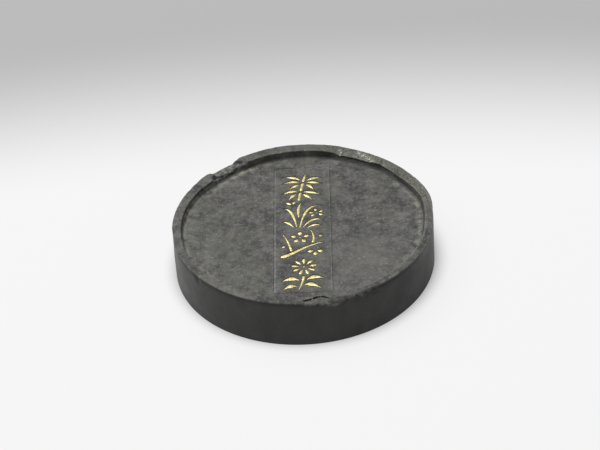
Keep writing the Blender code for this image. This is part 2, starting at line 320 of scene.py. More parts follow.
def out_from_wall(points):
    """How far each point lies outwards of the rim's inner edge."""
    _, azimuth = polar(points)
    across = (points[:, :2] - FACE_CENTRE) / (1.0, FACE_SQUEEZE)
    return np.linalg.norm(across, axis=1) - RIM_INNER - read_off(azimuth, INNER_STRAY, 360)


def upright(xy, z=0.0):
    """Three coordinates from two."""
    return np.column_stack([xy, np.full(len(xy), z)])


def mesh_object(name, points, faces):
    """A mesh object from points in millimetres, with its faces turned outwards."""
    mesh = bpy.data.meshes.new(name)
    mesh.from_pydata((np.asarray(points) * MM).tolist(), [], faces)
    shape = bmesh.new()
    shape.from_mesh(mesh)
    bmesh.ops.recalc_face_normals(shape, faces=shape.faces)
    shape.to_mesh(mesh)
    shape.free()
    obj = bpy.data.objects.new(name, mesh)
    bpy.context.scene.collection.objects.link(obj)
    return obj


def smooth_shading(mesh, sharp_degrees):
    mesh.shade_smooth()
    mesh.set_sharp_from_angle(angle=radians(sharp_degrees))


# Damage and unevenness


def dents(azimuth, across, places, reach):
    """How deep the dents in an edge are at each point, so far across from the edge."""
    depth = np.zeros_like(azimuth)
    for where, half_length, most in places:
        off = (azimuth - where + 180) % 360 - 180
        depth = np.maximum(depth, most * np.exp(-((off / half_length) ** 2) - (across / reach) ** 2))
    return depth


def stepped(radius, azimuth, line, depth, width):
    """A depth inwards of a line round the cake, with a step so wide at the line."""
    return read_off(azimuth, depth) * smoothstep((read_off(azimuth, line) - radius) / width + 0.5)


def break_depth(radius, azimuth):
    """How deep the left break is: its facet, its ledge and the slope at its tip."""
    facet = stepped(radius, azimuth, BREAK_LINE, BREAK_DEPTH, FACET_STEP)
    ledge = stepped(radius, azimuth, LEDGE_LINE, LEDGE_DEPTH, LEDGE_STEP)
    start = read_off(azimuth, TIP_LINE)
    tip = read_off(azimuth, TIP_DEPTH) * np.clip((radius - start) / (RADIUS - start + LEAST_WIDTH), 0, 1)
    return np.maximum(np.maximum(facet, ledge), tip)


def worn_depth(points):
    """How far the rim is worn down, more at its inner edge than at the side."""
    _, azimuth = polar(points)
    outer = read_off(azimuth, WORN_OUTER_DEPTH)
    inner = read_off(azimuth, WORN_INNER_DEPTH)
    reach = read_off(azimuth, WORN_START) - RIM_INNER
    share = smoothstep(1 - out_from_wall(points) / (reach + WORN_BLEND))
    return outer + (inner - outer) * share


def flake_depth(radius, azimuth):
    """How deep the front flake is, sloping down to the cake's side."""
    start = read_off(azimuth, FLAKE_START_RADIUS)
    share = np.clip((radius - start) / (RADIUS - start), 0.0, 1.0)
    sunk = read_off(azimuth, FLAKE_SINK) * smoothstep((radius - start) / FLAKE_STEP)
    return sunk + read_off(azimuth, FLAKE_EDGE_DEPTH) * share**FLAKE_CURVE


def damage_depth(points):
    """How far below the whole rim's top the broken and worn surface lies."""
    radius, azimuth = polar(points)
    broken = break_depth(radius, azimuth)
    worn = worn_depth(points)
    flaked = flake_depth(radius, azimuth)
    depth = np.maximum(np.maximum(broken, worn), flaked)
    flat = upright(points[:, :2])
    rough = fractal(flat, 2.4, seed=3) + 0.4 * fractal(flat, 1.1, seed=4, octaves=1)
    in_rubble = smoothstep((broken - RUBBLE_START) / 0.4)
    raggedness = FACET_ROUGHNESS * smoothstep(broken) + RUBBLE_ROUGHNESS * in_rubble
    raggedness += WORN_ROUGHNESS * smoothstep(worn / 0.8)
    raggedness += FLAKE_ROUGHNESS * smoothstep(flaked / 0.6)
    return np.maximum(depth + raggedness * rough, 0.0)


def top_depth(points):
    """How far a point on the rim's top lies below the whole cake's top."""
    radius, azimuth = polar(points)
    inward = out_from_wall(points)
    flat = upright(points[:, :2])
    waves = WAVE_HEIGHT * fractal(flat, 9.0, seed=1)
    uneven = TOP_CLEARANCE + waves + GRAIN_HEIGHT * fractal(flat, 1.6, seed=2)
    nicks = NICK_DEPTH * smoothstep(0.4 + fractal(flat, 3.0, seed=5))
    at_edges = bell(radius, RADIUS, NICK_REACH) + bell(inward, 0.0, NICK_REACH)
    dented = dents(azimuth, radius - RADIUS, EDGE_DENTS + FLAKE_PITS, EDGE_DENT_REACH)
    dented += dents(azimuth, inward, INNER_DENTS, INNER_DENT_REACH)
    return np.maximum(uneven, 0.0) + nicks * at_edges + dented + damage_depth(points)


def face_height(points):
    """The height of the field inside the gilded side's rim at each point."""
    flat = upright(points[:, :2])
    _, azimuth = polar(points)
    margin = out_from_wall(points) + DRAFT
    pits = smoothstep((fractal(flat, 1.3, seed=8, octaves=2) - 0.42) / 0.2)
    waves = WAVE_HEIGHT * fractal(flat, 14.0, seed=6) + GRAIN_HEIGHT * fractal(flat, 2.2, seed=7)
    rings = RING_HEIGHT * np.sin(margin * RING_TURN) * smoothstep((margin + RING_REACH) / 3.0)
    lumps = np.clip(0.45 + fractal(flat, 1.2, seed=9), 0, 1.2)
    rubble = read_off(azimuth, RUBBLE_HEIGHT) * smoothstep((margin + 1.9) / 1.5) * lumps
    return FACE_Z + waves - PIT_DEPTH * pits + rings + rubble


# The cake's mesh: rings of points from the field's grid out over the rim and down to the reverse's grid


def column_azimuths():
    """The azimuth of each column, closer together where the rim is damaged."""
    fine = np.arange(FIRST_COLUMN, FIRST_COLUMN + 360, DENSITY_STEP)
    density = np.ones_like(fine)
    for start, end in FINE_STRETCHES:
        density[(fine % 360 > start) & (fine % 360 < end)] = FINE_DENSITY
    around = np.concatenate([density[-DENSITY_BLUR:], density, density[:DENSITY_BLUR]])
    span = 2 * DENSITY_BLUR + 1
    density = np.convolve(around, np.ones(span) / span, "valid")
    covered = np.concatenate([[0.0], np.cumsum(density)])
    columns = 4 * SIDE_COLUMNS
    ends = np.append(fine, fine[-1] + DENSITY_STEP)
    return np.interp(np.arange(columns) * covered[-1] / columns, covered, ends)


def rim_profile():
    """(radius, height, part) of each ring from the field's edge over the rim to the reverse's field."""
    rings = []
    for turn in np.radians((22.5, 45, 67.5)):
        rings.append((FIELD_RADIUS - FILLET * (1 - sin(turn)), FACE_Z + FILLET * (1 - cos(turn)), "inner"))
    wall_start, wall_top = FACE_Z + FILLET, HEIGHT - ROUNDING
    for share in np.linspace(0, 1, INNER_WALL_RINGS):
        rings.append((FIELD_RADIUS + DRAFT * share, wall_start + (wall_top - wall_start) * share, "inner"))
    for turn in np.radians((30, 60, 90)):
        radius = RIM_INNER + ROUNDING * (1 - cos(turn))
        rings.append((radius, wall_top + ROUNDING * sin(turn), "top"))
    flat_start, flat_end = RIM_INNER + ROUNDING, RADIUS - ROUNDING
    for radius in np.linspace(flat_start, flat_end, TOP_RINGS)[1:]:
        rings.append((radius, HEIGHT, "top"))
    for turn in np.radians((22.5, 45, 67.5)):
        radius = flat_end + ROUNDING * sin(turn)
        rings.append((radius, HEIGHT - ROUNDING * (1 - cos(turn)), "top"))
    for share in np.linspace(0, 1, SIDE_RINGS):
        rings.append((RADIUS, wall_top - (wall_top - ROUNDING) * share**1.5, "wall"))
    for turn in np.radians((45, 90)):
        radius = RADIUS - ROUNDING * (1 - cos(turn))
        rings.append((radius, ROUNDING * (1 - sin(turn)), "foot"))
    for radius in np.linspace(RADIUS - ROUNDING, RIM_INNER, FOOT_RINGS)[1:]:
        rings.append((radius, 0.0, "foot"))
    for share in (0.33, 0.67, 1.0):
        rings.append((RIM_INNER - DRAFT * share, REVERSE_DEPTH * share, "reverse"))
    return rings


def grid_edge(azimuths):
    """The outline of the field's square-ish grid, one point for each column."""
    turn = np.radians(azimuths)
    circle = GRID_CORNER_RADIUS * np.column_stack([np.cos(turn), np.sin(turn)])
    corners = [circle[k * SIDE_COLUMNS % len(circle)] for k in range(5)]
    share = (np.arange(SIDE_COLUMNS) / SIDE_COLUMNS)[:, None]
    chords = np.concatenate([a + (b - a) * share for a, b in zip(corners, corners[1:])])
    return circle + (chords - circle) * GRID_SQUARENESS


def grid_inside(edge):
    """The grid's points, spread evenly between the four sides of its edge. Row 0 is the first side."""
    n = SIDE_COLUMNS
    closed = np.vstack([edge, edge[:1]])
    first, second = closed[: n + 1], closed[n : 2 * n + 1]
    third, fourth = closed[2 * n : 3 * n + 1][::-1], closed[3 * n :][::-1]
    u = (np.arange(n + 1) / n)[None, :, None]
    v = (np.arange(n + 1) / n)[:, None, None]
    between = (1 - v) * first[None] + v * third[None] + (1 - u) * fourth[:, None] + u * second[:, None]
    near_corners = (1 - u) * (1 - v) * first[0] + u * (1 - v) * first[-1]
    corners = near_corners + (1 - u) * v * third[0] + u * v * third[-1]
    return between - corners


def grid_numbers(ring, first_inside):
    """Each grid point's number in the mesh: the ring's numbers at its edge, and new ones inside."""
    n = SIDE_COLUMNS
    numbers = np.empty((n + 1, n + 1), int)
    numbers[1:n, 1:n] = first_inside + np.arange((n - 1) ** 2).reshape(n - 1, n - 1)
    numbers[0, :n] = ring[:n]
    numbers[:n, n] = ring[n : 2 * n]
    numbers[n, n:0:-1] = ring[2 * n : 3 * n]
    numbers[n:0:-1, 0] = ring[3 * n :]
    return numbers


def quads_between(near, far):
    """The faces between two rings of point numbers."""
    return np.column_stack([near, np.roll(near, -1), np.roll(far, -1), far]).tolist()


def grid_quads(numbers):
    corners = [numbers[:-1, :-1], numbers[:-1, 1:], numbers[1:, 1:], numbers[1:, :-1]]
    return np.stack(corners, -1).reshape(-1, 4).tolist()


def shaped_ring(radius, height, part, azimuths):
    """One ring of the rim's points, with its damage and unevenness."""
    turn = np.radians(azimuths)
    direction = np.column_stack([np.cos(turn), np.sin(turn)])
    if part in ("foot", "reverse"):
        return upright(direction * radius, height)
    points = strayed_ring(radius, height, part, azimuths, direction)
    if part == "wall":
        shape_side(points, radius, height)
    elif part == "top":
        points[:, 2] = HEIGHT - top_depth(points) - (HEIGHT - height)
    else:
        shape_inner_wall(points, height, azimuths % 360, direction)
    if part != "wall":
        lowest = FACE_Z + LIP_RISE + LIP_SLOPE * max(0.0, radius - FIELD_RADIUS)
        points[:, 2] = np.maximum(points[:, 2], lowest)
    points[:, :2] = np.clip(points[:, :2], -RADIUS, RADIUS)
    return points


def strayed_ring(radius, height, part, azimuths, direction):
    """A level ring, round at the cake's side and oval and slightly shifted at the rim's inner edge."""
    outwards = np.clip((radius - RIM_INNER) / (RADIUS - RIM_INNER), 0.0, 1.0)
    lean = max(0.0, (height / HEIGHT - 0.5) * 2)
    radii = radius + (1 - outwards) * read_off(azimuths, INNER_STRAY, 360)
    radii = radii + outwards * lean * read_off(azimuths, OUTLINE_STRAY, 360)
    if part == "top":
        outer_share = np.clip((radius - EDGE_WEAR_START) / (RADIUS - EDGE_WEAR_START), 0, 1)
        radii -= read_off(azimuths % 360, EDGE_WEAR) * outer_share
    oval = direction * (1.0, 1 - (1 - FACE_SQUEEZE) * (1 - outwards))
    return upright(oval * radii[:, None] + FACE_CENTRE * (1 - outwards), height)


def shape_side(points, radius, height):
    """Sets a ring of the side between the foot and the damaged top, with its dents."""
    top = HEIGHT - ROUNDING
    share = (height - ROUNDING) / (top - ROUNDING)
    points[:, 2] = ROUNDING + (top - top_depth(points) - ROUNDING) * share
    points[:, :2] *= (1 - wall_dent(points) / radius)[:, None]


def shape_inner_wall(points, height, azimuth, direction):
    """Keeps a ring of the inner wall below the damaged top, and hollows it under the worn rim."""
    low, high = HOLLOW_STRETCH
    hollow = HOLLOW_DEPTH * smoothstep((azimuth - low) / 8) * smoothstep((high - azimuth) / 5)
    rise = (height - FACE_Z) / (HEIGHT - FACE_Z)
    limit = HEIGHT - top_depth(points) - ROUNDING
    points[:, 2] = np.minimum(height, FACE_Z + (limit - FACE_Z) * rise)
    points[:, :2] += direction * (hollow * sin(np.pi * min(1.0, rise * 1.1)))[:, None]


def wall_dent(points):
    """How far in the side lies: faint waves, broken patches, the edge's wear and one scar."""
    _, azimuth = polar(points)
    waves = 0.04 + SIDE_WAVE * fractal(points, 11.0, seed=11) + SIDE_GRAIN * fractal(points, 1.8, seed=12)
    below = HEIGHT - points[:, 2]
    flaked = read_off(azimuth, FLAKE_EDGE_DEPTH)
    ragged = smoothstep(flaked / 0.5) * smoothstep((flaked + 3.2 - below) / 2.0)
    broken = smoothstep(break_depth(RADIUS, azimuth) / 0.6) * smoothstep((5.0 - below) / 2.0)
    patches = np.clip(0.25 + fractal(points, 2.4, seed=13, octaves=4), 0, 1)
    off = (azimuth - SCAR_AZIMUTH + 180) % 360 - 180
    scar = SCAR_DEPTH * np.exp(-((off / SCAR_SIZE) ** 2) - ((below - SCAR_BELOW) / SCAR_SIZE) ** 2)
    worn = read_off(azimuth, EDGE_WEAR) * bell(np.maximum(below - ROUNDING, 0), 0.0, EDGE_WEAR_REACH)
    return np.maximum(waves, 0.0) + PATCH_DEPTH * patches * np.maximum(ragged, 0.7 * broken) + scar + worn


def cake_mesh():
    """The cake's points and faces, before the panel is raised and the lines and troughs are cut."""
    azimuths = column_azimuths()
    direction = np.column_stack([np.cos(np.radians(azimuths)), np.sin(np.radians(azimuths))])
    edge = grid_edge(azimuths)
    inside = grid_inside(edge)[1:-1, 1:-1].reshape(-1, 2)
    columns = len(azimuths)
    radii = FIELD_RADIUS - FILLET + read_off(azimuths, INNER_STRAY, 360)
    oval = direction * (1.0, FACE_SQUEEZE) * radii[:, None]

    rings = []
    for share in np.linspace(0, 1, FIELD_RINGS) ** 0.8:
        ring = upright(edge + (oval - edge) * share + FACE_CENTRE)
        ring[:, 2] = face_height(ring)
        rings.append(ring)
    for radius, height, part in rim_profile():
        rings.append(shaped_ring(radius, height, part, azimuths))
    reverse_circle = direction * FIELD_RADIUS
    for share in (0.25, 0.6, 1.0):
        rings.append(upright(reverse_circle + (edge - reverse_circle) * share, REVERSE_DEPTH))

    top_inside = upright(inside + FACE_CENTRE)
    top_inside[:, 2] = face_height(top_inside)
    points = np.vstack([*rings, top_inside, upright(inside, REVERSE_DEPTH)])

    numbers = [np.arange(columns) + k * columns for k in range(len(rings))]
    faces = [quad for near, far in zip(numbers, numbers[1:]) for quad in quads_between(near, far)]
    first_inside = len(rings) * columns
    faces += grid_quads(grid_numbers(numbers[0], first_inside))
    faces += grid_quads(grid_numbers(numbers[-1], first_inside + len(inside)))
    return points, faces


# Cutters


def panel_slab():
    """The panel's slightly raised surface, a slab with a faint lip that is joined to the field."""
    steps = [0.0, 0.22, 0.45, 0.7, 1.0]

    def across(low, high):
        middle = np.arange(low + steps[-1], high - steps[-1], PANEL_STEP)[1:]
        return np.array([low + s for s in steps] + list(middle) + [high - s for s in reversed(steps)])

    xs = across(-PANEL_HALF_WIDTH, PANEL_HALF_WIDTH)
    ys = across(PANEL_BOTTOM, PANEL_TOP)
    grid = np.stack(np.meshgrid(xs, ys), -1).reshape(-1, 2)
    top = upright(grid)
    from_end = np.minimum(PANEL_TOP - grid[:, 1], grid[:, 1] - PANEL_BOTTOM)
    inset = np.minimum(PANEL_HALF_WIDTH - abs(grid[:, 0]), from_end)
    lip = PANEL_LIP * bell(inset, 0.45, 0.25)
    top[:, 2] = face_height(top) + PANEL_RISE + lip
    bottom = upright(grid, FACE_Z - 1.5)
    count = len(grid)
    number = np.arange(count).reshape(len(ys), len(xs))
    faces = grid_quads(number) + grid_quads(number[:, ::-1] + count)
    rim = np.concatenate([number[0, :-1], number[:-1, -1], number[-1, :0:-1], number[:0:-1, 0]])
    faces += quads_between(rim, rim + count)
    return mesh_object("panel_slab", np.vstack([top, bottom]), faces)


def swept(path, sections, closed):
    """Points and faces of a tube: sections[k] holds the corners of its cross-section at path[k]."""
    points = np.vstack(sections)
    size = len(sections[0])
    numbers = [np.arange(size) + k * size for k in range(len(path))]
    pairs = list(zip(numbers, numbers[1:])) + ([(numbers[-1], numbers[0])] if closed else [])
    faces = [quad for near, far in pairs for quad in quads_between(near, far)]
    if not closed:
        faces += [numbers[0].tolist(), numbers[-1][::-1].tolist()]
    return points, faces


def panel_line():
    """The fine line round the panel, a groove of uneven width and depth."""
    xs = np.arange(-PANEL_HALF_WIDTH, PANEL_HALF_WIDTH, LINE_STEP)
    ys = np.arange(PANEL_BOTTOM, PANEL_TOP, LINE_STEP)
    path = np.array(
        [(x, PANEL_BOTTOM) for x in xs]
        + [(PANEL_HALF_WIDTH, y) for y in ys]
        + [(-x, PANEL_TOP) for x in xs]
        + [(-PANEL_HALF_WIDTH, PANEL_TOP + PANEL_BOTTOM - y) for y in ys]
    )
    centre = np.array([0.0, (PANEL_TOP + PANEL_BOTTOM) / 2])
    half = np.array([PANEL_HALF_WIDTH, (PANEL_TOP - PANEL_BOTTOM) / 2])
    uneven = fractal(upright(path), 6.0, seed=21)
    depths = np.where(path[:, 1] > PANEL_BOTTOM + LINE_STEP / 2, LINE_DEPTH, FAINT_LINE_DEPTH)
    depths = np.where(path[:, 1] > PANEL_TOP - LINE_STEP / 2, TOP_LINE_DEPTH, depths)
    sections = []
    for place, change, depth in zip(path, uneven, depths):
        width = LINE_WIDTH * (1 + 0.35 * change) / 2
        floor = FACE_Z - depth * (1 + 0.5 * change)
        rise = FACE_Z + CUTTER_RISE
        outer = centre + (place - centre) * (1 + width / half)
        inner = centre + (place - centre) * (1 - width / half)
        sections.append([(*outer, rise), (*outer, floor), (*inner, floor), (*inner, rise)])
    return swept(path, sections, closed=True)


def crack():
    """The open crack behind the front flake, a ragged gap that narrows to its ends."""
    azimuths = np.linspace(CRACK_LINE[0][0], CRACK_LINE[-1][0], CRACK_SECTIONS)
    line = read_off(azimuths, CRACK_LINE)
    turn = np.radians(azimuths)
    path = np.column_stack([np.cos(turn), np.sin(turn)])
    ragged = fractal(upright(path * RADIUS), 1.2, seed=22)
    share = np.linspace(0, 1, len(azimuths))
    widths = CRACK_WIDTH * (0.25 + 0.75 * np.sin(np.pi * share) ** 0.5) * (1 + 0.8 * ragged) / 2
    top = HEIGHT + CUTTER_RISE
    sections = []
    for direction, radius, half, shift in zip(path, line, widths, ragged):
        radius = radius + 0.15 * shift
        near, far = direction * (radius - half), direction * (radius + half)
        deep = direction * (radius - half * 0.4)
        near_side = [(*near, top), (*near, HEIGHT - 1)]
        far_side = [(*far, HEIGHT - 0.8), (*far, top)]
        sections.append([*near_side, (*deep, CRACK_FLOOR), *far_side])
    return swept(path, sections, closed=False)


# Gold


def outline_of(node):
    """The outline of a gold dab's upper face in millimetres, anticlockwise from above."""
    corners = [tuple(round(c / MM, 3) for c in vertex.co) for vertex in node.data.vertices]
    top = max(z for _, _, z in corners)
    edges = set()
    for face in node.data.polygons:
        points = [corners[v] for v in face.vertices]
        if min(z for _, _, z in points) > top - 0.01:
            edges |= {(a[:2], b[:2]) for a, b in zip(points, points[1:] + points[:1])}
    ahead = {a: b for a, b in edges if (b, a) not in edges}
    loop = [min(ahead)]
    while ahead[loop[-1]] != loop[0]:
        loop.append(ahead[loop[-1]])
    return np.array(loop)


def rounded(outline):
    """The outline with its corners cut off, twice as many points."""
    ahead = np.roll(outline, -1, axis=0)
    pairs = np.stack([0.75 * outline + 0.25 * ahead, 0.25 * outline + 0.75 * ahead], axis=1)
    return pairs.reshape(-1, 2)


def grown(outline, by):
    """The outline moved out along its own normals by so many millimetres at each point."""
    along = np.roll(outline, -1, axis=0) - np.roll(outline, 1, axis=0)
    along /= np.maximum(np.linalg.norm(along, axis=1), 1e-6)[:, None]
    return outline + np.column_stack([along[:, 1], -along[:, 0]]) * np.reshape(by, (-1, 1))


def brushed_outline(node):
    """A stroke's outline as a brush leaves it, smooth with a slight wobble."""
    outline = outline_of(node)
    for _ in range(CORNER_ROUNDS):
        outline = rounded(outline)
    return grown(outline, WOBBLE * fractal(upright(outline), 1.4, seed=31, octaves=2))


def distance_to(outline, points):
    """The distance from each point to the closed outline."""
    start = outline[None]
    step = (np.roll(outline, -1, axis=0) - outline)[None]
    off = points[:, None] - start
    share = np.clip((off * step).sum(-1) / np.maximum((step * step).sum(-1), 1e-9), 0, 1)
    return np.linalg.norm(off - share[..., None] * step, axis=-1).min(axis=1)


def within(outline, points):
    """Whether each point lies inside the closed outline."""
    ahead = np.roll(outline, -1, axis=0)
    x, y = points[:, 0][:, None], points[:, 1][:, None]
    spans = (outline[:, 1] > y) != (ahead[:, 1] > y)
    rise = np.where(ahead[:, 1] == outline[:, 1], 1e-9, ahead[:, 1] - outline[:, 1])
    crossing = outline[:, 0] + (y - outline[:, 1]) * (ahead[:, 0] - outline[:, 0]) / rise
    return (spans & (x < crossing)).sum(axis=1) % 2 == 1


def points_inside(outline):
    """Evenly spread points inside an outline, clear of it."""
    low, high = outline.min(axis=0), outline.max(axis=0)
    row_height = GOLD_POINT_SPACING * sin(radians(60))
    rows = []
    for row, y in enumerate(np.arange(low[1], high[1], row_height)):
        xs = np.arange(low[0] + (row % 2) * GOLD_POINT_SPACING / 2, high[0], GOLD_POINT_SPACING)
        rows.append(np.column_stack([xs, np.full(len(xs), y)]))
    points = np.vstack(rows)
    points = points[within(outline, points)]
    return points[distance_to(outline, points) > 0.55 * GOLD_POINT_SPACING]


def gold_dab(name, outline):
    """One dab of gold: a low dome marked by the brush, with sides and a flat bottom."""
    flat = np.vstack([outline, points_inside(outline)])
    count = len(outline)
    made = geometry.delaunay_2d_cdt([Vector(p) for p in flat], [], [list(range(count))], 1, 1e-6)
    places, _, faces, sources = made[0], made[1], made[2], made[3]
    top = np.array(places)
    inward = distance_to(outline, top)
    dome = GOLD_DOME * (1 - np.exp(-inward / GOLD_DOME_REACH))
    streaks = GOLD_STREAK * fractal(upright(top), 0.7, seed=33, octaves=2) * smoothstep(inward / 0.2)
    heights = face_height(upright(top)) + PANEL_RISE - GOLD_EDGE_DEPTH + dome + streaks
    number = {source: k for k, found in enumerate(sources) for source in found}
    edge = [number[k] for k in range(count)]
    bottom = FACE_Z - TROUGH_DEPTH + GOLD_GAP
    points = np.vstack([np.column_stack([top, heights]), upright(outline, bottom)])
    under = np.arange(count) + len(top)
    sides = quads_between(np.array(edge), under)
    obj = mesh_object(name, points, [list(face) for face in faces] + sides + [under[::-1].tolist()])
    smooth_shading(obj.data, 50)
    shares = np.concatenate([np.clip(inward / GOLD_EDGE_WIDTH, 0, 1), np.zeros(count)])
    write_attribute(obj.data, "inward", shares)
    return obj


def write_attribute(mesh, name, values):
    """Gives the mesh a number at each point, for its material to read."""
    attribute = mesh.attributes.new(name, "FLOAT", "POINT")
    attribute.data.foreach_set("value", np.asarray(values, np.float32))


def troughs(outlines):
    """Points and faces of the prisms that cut the gold's troughs."""
    points, faces = [], []
    for outline in outlines:
        sides = grown(outline, GOLD_GAP)
        first = len(points)
        count = len(sides)
        for z in (FACE_Z - TROUGH_DEPTH, FACE_Z + CUTTER_RISE):
            points += [(x, y, z) for x, y in sides]
        low, high = np.arange(first, first + count), np.arange(first + count, first + 2 * count)
        faces += quads_between(low, high) + [low[::-1].tolist(), high.tolist()]
    return np.array(points), faces


def joined(*shapes):
    """Several (points, faces) as one."""
    points, faces = [], []
    first = 0
    for shape_points, shape_faces in shapes:
        points.append(np.asarray(shape_points))
        faces += [[corner + first for corner in face] for face in shape_faces]
        first += len(shape_points)
    return np.vstack(points), faces


def apply_boolean(obj, other, operation):
    """Joins or cuts another object into this one and removes the other."""
    boolean = obj.modifiers.new(operation.lower(), "BOOLEAN")
    boolean.operation = operation
    boolean.solver = "MANIFOLD"
    boolean.object = other
    graph = bpy.context.evaluated_depsgraph_get()
    made = bpy.data.meshes.new_from_object(obj.evaluated_get(graph))
    obj.modifiers.clear()
    obj.data = made
    bpy.data.objects.remove(other, do_unlink=True)


def cake(outlines):
    """The ink cake, with its panel, line, troughs and crack, and marks that its material reads."""
    obj = mesh_object("ink_cake_body", *cake_mesh())
    apply_boolean(obj, panel_slab(), "UNION")
    cutter = mesh_object("cutter", *joined(panel_line(), crack(), troughs(outlines)))
    apply_boolean(obj, cutter, "DIFFERENCE")
    smooth_shading(obj.data, 42)
    mark_surfaces(obj.data)
    return obj


def mark_surfaces(mesh):
    """Writes how broken, rubbed, dusty and so on each point is, and where light and shade are painted, for
    the material.
    """
    spots = measured(np.array([vertex.co for vertex in mesh.vertices]) / MM)
    marks = {**rim_marks(spots), **wall_marks(spots), **side_marks(spots), **field_marks(spots)}
    for name, values in marks.items():
        write_attribute(mesh, name, values)


def measured(points):
    """Where points lie: below the whole cake's top, under its damaged surface, and so on."""
    spots = SimpleNamespace(points=points, below=HEIGHT - points[:, 2], inward=out_from_wall(points))
    spots.radius, spots.azimuth = polar(points)
    spots.under = spots.below - damage_depth(points)
    spots.on_rim = ramp(spots.inward, -0.6, 0.0)
    spots.broken = break_depth(spots.radius, spots.azimuth)
    return spots


def rim_marks(spots):
    """The rim's fresh breaks, rubbed edges with a painted highlight, olive and gritty stretch and crystals.
    """
    flaked = flake_depth(spots.radius, spots.azimuth)
    fresh = np.maximum(spots.broken, 0.25 * flaked) + 0.3 * worn_depth(spots.points)
    # The rubbed edges, lightened partly as a painted highlight
    outer_edge = bell(spots.radius, RADIUS - 0.1, 0.3) * ramp(spots.under, 0.5, 0.2)
    inner_edge = bell(spots.inward, 0.3, 0.4) * ramp(spots.under, 0.8, 0.4)
    return {
        "broken": ramp(fresh, 0.0, 0.5) * spots.on_rim * ramp(spots.under, 1.2, 0.4),
        "rubbed_and_highlight": outer_edge + read_off(spots.azimuth, INNER_RUB_AND_HIGHLIGHT) * inner_edge,
        "olive": spots.on_rim * read_off(spots.azimuth, OLIVE),
        "specks": speck_share(spots.points),
    }


def wall_marks(spots):
    """The inner wall's tone at its foot, its painted shade and its dust with painted light, painted shade in
    the left break's gap and under the front flake's pits, and the dust on the field along its foot.
    """
    on_wall = ramp(spots.inward, -DRAFT - 1.2, -DRAFT - 0.5) * ramp(spots.inward, 0.2, 0.0)
    on_wall *= ramp(spots.below, 0.3, 0.6)
    # Painted shade on the inner wall, strongest under the worn right of the rim
    shaded = on_wall * read_off(spots.azimuth, WALL_PAINTED_SHADE)
    # Dust on the inner wall, with painted light that lightens its left stretch
    dust_and_painted_light = on_wall * read_off(spots.azimuth, WALL_DUST_AND_PAINTED_LIGHT) * ramp(spots.below, 1.0, 1.8)
    foot = ramp(spots.inward, -2.0, -0.8) * ramp(spots.inward, 0.3, 0.0) * ramp(spots.below, 1.2, 2.7)
    margin = bell(spots.inward, -DRAFT - 1.6, 1.4) * ramp(spots.below, FACE_DEPTH - 0.6, FACE_DEPTH - 0.2)
    # Painted shade in the gap between the left break's facet and its ledge
    rubble_gap = ramp(spots.broken, 2.05, 2.35) * ramp(spots.below, 2.2, 2.6)
    rubble_gap *= ramp(spots.inward, -1.3, -0.7)
    # Painted shadow under the front flake's broken edge, at its pits
    pits = ramp(dents(spots.azimuth, spots.radius - RADIUS, FLAKE_PITS, 0.7), 0.0, 0.35)
    pits *= ramp(spots.under, 1.4, 0.8)
    return {
        "inner_wall": foot * (1 - shaded) * (1 - dust_and_painted_light),
        "wall_dust_and_painted_light": dust_and_painted_light,
        "margin": margin * read_off(spots.azimuth, DUST),
        "painted_shade": np.maximum(np.maximum(shaded, rubble_gap), 0.8 * pits),
    }


def side_marks(spots):
    """The side, its pale streaks and its duller stretch."""
    side = ramp(spots.radius, RADIUS - 1.2, RADIUS - 0.9) * ramp(spots.under, 0.35, 0.75)
    side = np.maximum(side, ramp(spots.below, HEIGHT - 2 * ROUNDING, HEIGHT - ROUNDING))
    streaked = ramp(spots.under, 0.3, 0.7) * ramp(spots.below, 7.0, 2.0)
    return {
        "side": side,
        "residue": side * streaked * read_off(spots.azimuth, RESIDUE),
        "dull": side * read_off(spots.azimuth, DULL),
    }


def field_marks(spots):
    """The field's pale patch and the panel's rubbed edge."""
    from_pale = np.linalg.norm(spots.points[:, :2] - PALE_PLACE, axis=1)
    return {
        "pale": bell(from_pale, 0.0, PALE_REACH) * (1 - spots.on_rim),
        "scored": score_share(spots.points),
    }


def speck_share(points):
    """1 at each bright crystal in the worn rim, falling off round it."""
    share = np.zeros(len(points))
    above_field = points[:, 2] > FACE_Z + 1.5
    for radius, azimuth in SPECKS:
        centre = radius * np.array([cos(radians(azimuth)), sin(radians(azimuth))])
        off = np.linalg.norm(points[:, :2] - centre, axis=1)
        share = np.maximum(share, bell(off, 0.0, SPECK_REACH) * above_field)
    return share


def score_share(points):
    """How rubbed and light the panel's edge is, just inside its line."""
    x, y = points[:, 0], points[:, 1]
    from_side = PANEL_HALF_WIDTH - abs(x)
    from_end = np.minimum(PANEL_TOP - y, y - PANEL_BOTTOM)
    at_side = bell(from_side, 0.42, 0.22) * ramp(from_end, -0.1, 0.2)
    left, right = 0.45 + 0.55 * ramp(y, 12, -6), 0.3 + 0.3 * ramp(y, -20, -32)
    strength = np.where(x < 0, left, right)
    corner = bell(y, PANEL_BOTTOM + 0.8, 1.0) * (x < 0)
    at_end = 0.05 * bell(y, PANEL_BOTTOM + 0.4, 0.3) * ramp(from_side, 0.0, 0.3)
    on_face = ramp(points[:, 2], FACE_Z - 0.1, FACE_Z)
    return (at_side * (strength + 0.5 * corner) + at_end) * on_face


# Materials


def add_node(tree, kind, inputs=None, **settings):
    """A shader node. An input that is a socket is linked, and any other is set."""
    made = tree.nodes.new("ShaderNode" + kind)
    for name, value in settings.items():
        setattr(made, name, value)
    for key, value in (inputs or {}).items():
        if isinstance(value, bpy.types.NodeSocket):
            tree.links.new(value, made.inputs[key])
        else:
            made.inputs[key].default_value = value
    return made


